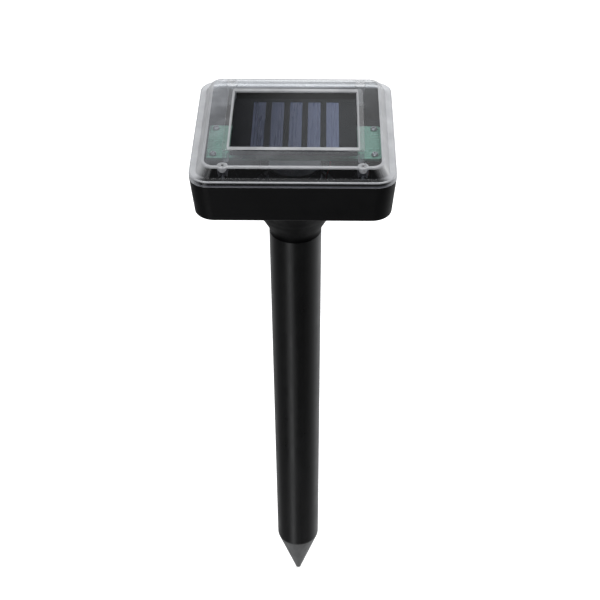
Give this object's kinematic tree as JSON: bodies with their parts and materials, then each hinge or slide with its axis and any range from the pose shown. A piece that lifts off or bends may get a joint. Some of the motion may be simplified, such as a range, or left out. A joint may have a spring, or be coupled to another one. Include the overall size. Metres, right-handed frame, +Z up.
{
  "type": "ultrasonic pest repeller",
  "caption": "Solar garden stake that repels burrowing pests: square black head with a clear screwed cover over a solar panel, funnel hub, and a hollow tapered black stake with a conical point.",
  "frame": {"origin": "the stake's tip, on the stake's axis, which is also the head's centre line", "axes": "+Z up along the stake's axis from the tip to the head; -Y is the front and +X the right, seen from the front; the head's sides lie along X and Y"},
  "size_m": [0.12, 0.12, 0.3911],
  "materials": {
    "clear_plastic": "gloss",
    "bond_silicone": "gloss",
    "black_plastic": "satin",
    "stake_plastic": "satin",
    "rubber": "matte",
    "foam": "matte",
    "panel_black": "gloss",
    "solar_cell": "satin",
    "board_green": "satin",
    "chip_epoxy": "matte",
    "zinc_steel": "satin",
    "speaker_steel": "satin",
    "ferrite": "matte",
    "copper": "satin",
    "cone_paper": "matte",
    "nickel": "satin",
    "cell_wrap": "satin",
    "tray_plastic": "satin",
    "capacitor_sleeve": "satin",
    "wire_red": "satin",
    "wire_black": "satin",
    "button_rubber": "matte"
  },
  "bodies": {
    "stake": {"stake": "stake_plastic"},
    "head": {"base_shell": "black_plastic", "battery_cell": "cell_wrap", "battery_holder": "tray_plastic", "battery_plate_contact": "nickel", "battery_spring_contact": "nickel", "battery_tape": "foam", "battery_wire_black": "wire_black", "battery_wire_red": "wire_red", "board_screw_1": "zinc_steel", "board_screw_2": "zinc_steel", "board_screw_3": "zinc_steel", "board_screw_4": "zinc_steel", "boost_inductor": "ferrite", "button_spring": "zinc_steel", "control_chip": "chip_epoxy", "cover_gasket": "foam", "cover_screw_1": "zinc_steel", "cover_screw_2": "zinc_steel", "cover_screw_3": "zinc_steel", "cover_screw_4": "zinc_steel", "driver_transistor": "chip_epoxy", "main_board": "board_green", "panel_bond_layer": "bond_silicone", "panel_wire_black": "wire_black", "panel_wire_red": "wire_red", "power_switch": "chip_epoxy", "solar_cell_1": "solar_cell", "solar_cell_2": "solar_cell", "solar_cell_3": "solar_cell", "solar_cell_4": "solar_cell", "solar_cell_5": "solar_cell", "solar_panel_board": "panel_black", "speaker_frame": "speaker_steel", "speaker_gasket": "foam", "speaker_magnet": "ferrite", "speaker_plate": "speaker_steel", "speaker_retainer": "tray_plastic", "speaker_wire_black": "wire_black", "speaker_wire_red": "wire_red", "speaker_yoke": "speaker_steel", "stake_seal_ring": "rubber", "storage_capacitor": "capacitor_sleeve", "top_cover": "clear_plastic"},
    "button": {"power_button": "button_rubber"},
    "speaker_moving": {"speaker_cone": "cone_paper", "voice_coil": "copper"}
  },
  "joints": [
    {"name": "head_lift", "type": "slide", "parent": "stake", "child": "head", "axis": [0, 0, 1], "range_m": [0, 0.03]},
    {"name": "button_press", "type": "slide", "parent": "head", "child": "button", "axis": [0, 0, 1], "range_m": [0, 0.0015], "stiffness_N_per_m": 400, "springref_m": -0.001, "deforming": ["button_spring"]},
    {"name": "speaker_stroke", "type": "slide", "parent": "head", "child": "speaker_moving", "axis": [0, 0, 1], "range_m": [-0.0005, 0.0005], "stiffness_N_per_m": 1500}
  ]
}
